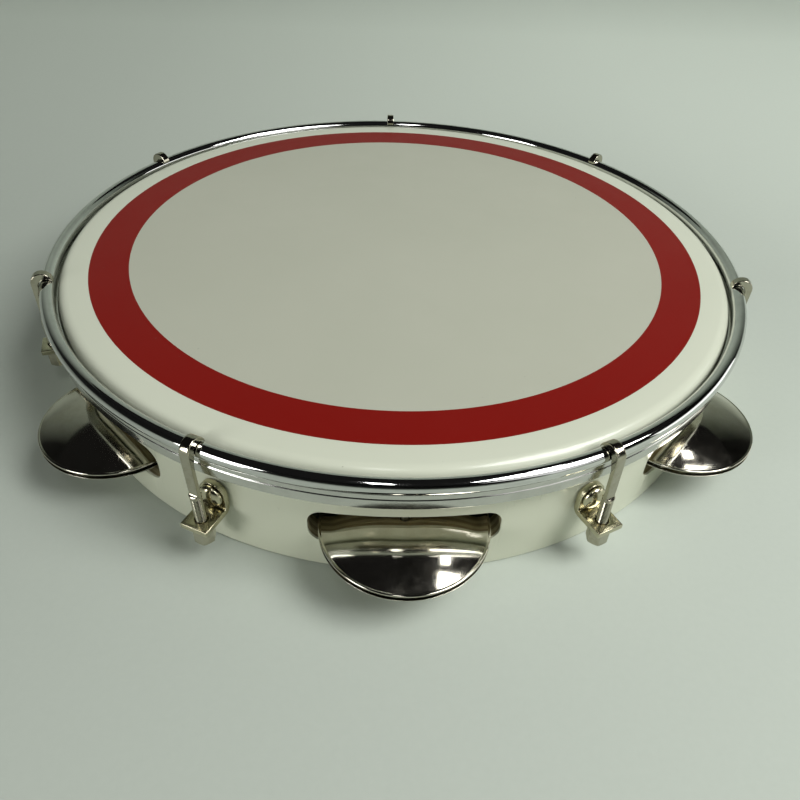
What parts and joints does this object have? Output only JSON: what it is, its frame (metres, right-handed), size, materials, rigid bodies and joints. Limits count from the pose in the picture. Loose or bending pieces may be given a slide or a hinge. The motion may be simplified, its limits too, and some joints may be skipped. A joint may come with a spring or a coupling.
{
  "type": "pandeiro",
  "caption": "Brazilian hand frame drum: slotted round shell, film head under a rod hoop, cupped jingle pairs on pins, and strap hooks that tension the head through bent brackets",
  "frame": {"origin": "centre of the playing face", "axes": "+Z out of the playing face, -Y towards the middle jingle set"},
  "size_m": [0.2886, 0.2859, 0.0472],
  "materials": {
    "laminate": "plywood shell with a glossy white laminate skin outside",
    "film": "satin white nylon film with a plain red band",
    "chrome": "polished chrome on a steel rod",
    "aluminium": "rolled bright aluminium channel",
    "jingle_nickel": "bright nickel plate on stamped sheet",
    "damper_steel": "plain flat sheet disc",
    "hardware_nickel": "bright nickel plated steel",
    "steel": "zinc plated steel"
  },
  "bodies": {
    "root": {"frame_shell": "laminate", "drumhead": "film", "jingle_pin_1": "steel", "jingle_pin_2": "steel", "jingle_pin_3": "steel", "jingle_pin_4": "steel", "jingle_pin_5": "steel", "hook_bracket_1": "hardware_nickel", "bracket_screw_1": "hardware_nickel", "bracket_nut_1": "steel", "hook_bracket_2": "hardware_nickel", "bracket_screw_2": "hardware_nickel", "bracket_nut_2": "steel", "hook_bracket_3": "hardware_nickel", "bracket_screw_3": "hardware_nickel", "bracket_nut_3": "steel", "hook_bracket_4": "hardware_nickel", "bracket_screw_4": "hardware_nickel", "bracket_nut_4": "steel", "hook_bracket_5": "hardware_nickel", "bracket_screw_5": "hardware_nickel", "bracket_nut_5": "steel", "hook_bracket_6": "hardware_nickel", "bracket_screw_6": "hardware_nickel", "bracket_nut_6": "steel", "hook_bracket_7": "hardware_nickel", "bracket_screw_7": "hardware_nickel", "bracket_nut_7": "steel"},
    "hoop": {"counter_hoop": "chrome", "flesh_hoop": "aluminium", "tension_hook_1": "hardware_nickel", "tension_hook_2": "hardware_nickel", "tension_hook_3": "hardware_nickel", "tension_hook_4": "hardware_nickel", "tension_hook_5": "hardware_nickel", "tension_hook_6": "hardware_nickel", "tension_hook_7": "hardware_nickel"},
    "nut_1": {"tension_nut_1": "hardware_nickel"},
    "nut_2": {"tension_nut_2": "hardware_nickel"},
    "nut_3": {"tension_nut_3": "hardware_nickel"},
    "nut_4": {"tension_nut_4": "hardware_nickel"},
    "nut_5": {"tension_nut_5": "hardware_nickel"},
    "nut_6": {"tension_nut_6": "hardware_nickel"},
    "nut_7": {"tension_nut_7": "hardware_nickel"},
    "lower_cup_1": {"lower_jingle_1": "jingle_nickel"},
    "damper_1": {"damper_disc_1": "damper_steel"},
    "upper_cup_1": {"upper_jingle_1": "jingle_nickel"},
    "lower_cup_2": {"lower_jingle_2": "jingle_nickel"},
    "damper_2": {"damper_disc_2": "damper_steel"},
    "upper_cup_2": {"upper_jingle_2": "jingle_nickel"},
    "lower_cup_3": {"lower_jingle_3": "jingle_nickel"},
    "damper_3": {"damper_disc_3": "damper_steel"},
    "upper_cup_3": {"upper_jingle_3": "jingle_nickel"},
    "lower_cup_4": {"lower_jingle_4": "jingle_nickel"},
    "damper_4": {"damper_disc_4": "damper_steel"},
    "upper_cup_4": {"upper_jingle_4": "jingle_nickel"},
    "lower_cup_5": {"lower_jingle_5": "jingle_nickel"},
    "damper_5": {"damper_disc_5": "damper_steel"},
    "upper_cup_5": {"upper_jingle_5": "jingle_nickel"}
  },
  "joints": [
    {"name": "hoop_travel", "type": "slide", "parent": "root", "child": "hoop", "axis": [0, 0, 1], "range_m": [-0.001, 0.001]},
    {"name": "nut_spin_1", "type": "hinge", "parent": "root", "child": "nut_1", "pos_m": [0.05888, -0.1206, -0.031], "axis": [0, 0, 1], "range_deg": [-605, 605]},
    {"name": "nut_spin_2", "type": "hinge", "parent": "root", "child": "nut_2", "pos_m": [0.13071, -0.03045, -0.031], "axis": [0, 0, 1], "range_deg": [-605, 605]},
    {"name": "nut_spin_3", "type": "hinge", "parent": "root", "child": "nut_3", "pos_m": [0.10146, 0.08785, -0.031], "axis": [0, 0, 1], "range_deg": [-605, 605]},
    {"name": "nut_spin_4", "type": "hinge", "parent": "root", "child": "nut_4", "pos_m": [-0.00181, 0.1342, -0.031], "axis": [0, 0, 1], "range_deg": [-605, 605]},
    {"name": "nut_spin_5", "type": "hinge", "parent": "root", "child": "nut_5", "pos_m": [-0.11201, 0.07394, -0.031], "axis": [0, 0, 1], "range_deg": [-605, 605]},
    {"name": "nut_spin_6", "type": "hinge", "parent": "root", "child": "nut_6", "pos_m": [-0.12921, -0.03628, -0.031], "axis": [0, 0, 1], "range_deg": [-605, 605]},
    {"name": "nut_spin_7", "type": "hinge", "parent": "root", "child": "nut_7", "pos_m": [-0.05899, -0.12055, -0.031], "axis": [0, 0, 1], "range_deg": [-605, 605]},
    {"name": "lower_cup_rattle_1", "type": "slide", "parent": "root", "child": "lower_cup_1", "axis": [0, 0, 1], "range_m": [0, 0.0005]},
    {"name": "damper_rattle_1", "type": "slide", "parent": "lower_cup_1", "child": "damper_1", "axis": [0, 0, 1], "range_m": [0, 0.0004]},
    {"name": "upper_cup_rattle_1", "type": "slide", "parent": "damper_1", "child": "upper_cup_1", "axis": [0, 0, 1], "range_m": [0, 0.0005]},
    {"name": "lower_cup_rattle_2", "type": "slide", "parent": "root", "child": "lower_cup_2", "axis": [0, 0, 1], "range_m": [0, 0.0005]},
    {"name": "damper_rattle_2", "type": "slide", "parent": "lower_cup_2", "child": "damper_2", "axis": [0, 0, 1], "range_m": [0, 0.0004]},
    {"name": "upper_cup_rattle_2", "type": "slide", "parent": "damper_2", "child": "upper_cup_2", "axis": [0, 0, 1], "range_m": [0, 0.0005]},
    {"name": "lower_cup_rattle_3", "type": "slide", "parent": "root", "child": "lower_cup_3", "axis": [0, 0, 1], "range_m": [0, 0.0005]},
    {"name": "damper_rattle_3", "type": "slide", "parent": "lower_cup_3", "child": "damper_3", "axis": [0, 0, 1], "range_m": [0, 0.0004]},
    {"name": "upper_cup_rattle_3", "type": "slide", "parent": "damper_3", "child": "upper_cup_3", "axis": [0, 0, 1], "range_m": [0, 0.0005]},
    {"name": "lower_cup_rattle_4", "type": "slide", "parent": "root", "child": "lower_cup_4", "axis": [0, 0, 1], "range_m": [0, 0.0005]},
    {"name": "damper_rattle_4", "type": "slide", "parent": "lower_cup_4", "child": "damper_4", "axis": [0, 0, 1], "range_m": [0, 0.0004]},
    {"name": "upper_cup_rattle_4", "type": "slide", "parent": "damper_4", "child": "upper_cup_4", "axis": [0, 0, 1], "range_m": [0, 0.0005]},
    {"name": "lower_cup_rattle_5", "type": "slide", "parent": "root", "child": "lower_cup_5", "axis": [0, 0, 1], "range_m": [0, 0.0005]},
    {"name": "damper_rattle_5", "type": "slide", "parent": "lower_cup_5", "child": "damper_5", "axis": [0, 0, 1], "range_m": [0, 0.0004]},
    {"name": "upper_cup_rattle_5", "type": "slide", "parent": "damper_5", "child": "upper_cup_5", "axis": [0, 0, 1], "range_m": [0, 0.0005]}
  ],
  "couplings": [
    {"joint": "nut_spin_1", "follows": "hoop_travel", "rad_per_m": -10472},
    {"joint": "nut_spin_2", "follows": "hoop_travel", "rad_per_m": -10472},
    {"joint": "nut_spin_3", "follows": "hoop_travel", "rad_per_m": -10472},
    {"joint": "nut_spin_4", "follows": "hoop_travel", "rad_per_m": -10472},
    {"joint": "nut_spin_5", "follows": "hoop_travel", "rad_per_m": -10472},
    {"joint": "nut_spin_6", "follows": "hoop_travel", "rad_per_m": -10472},
    {"joint": "nut_spin_7", "follows": "hoop_travel", "rad_per_m": -10472}
  ]
}
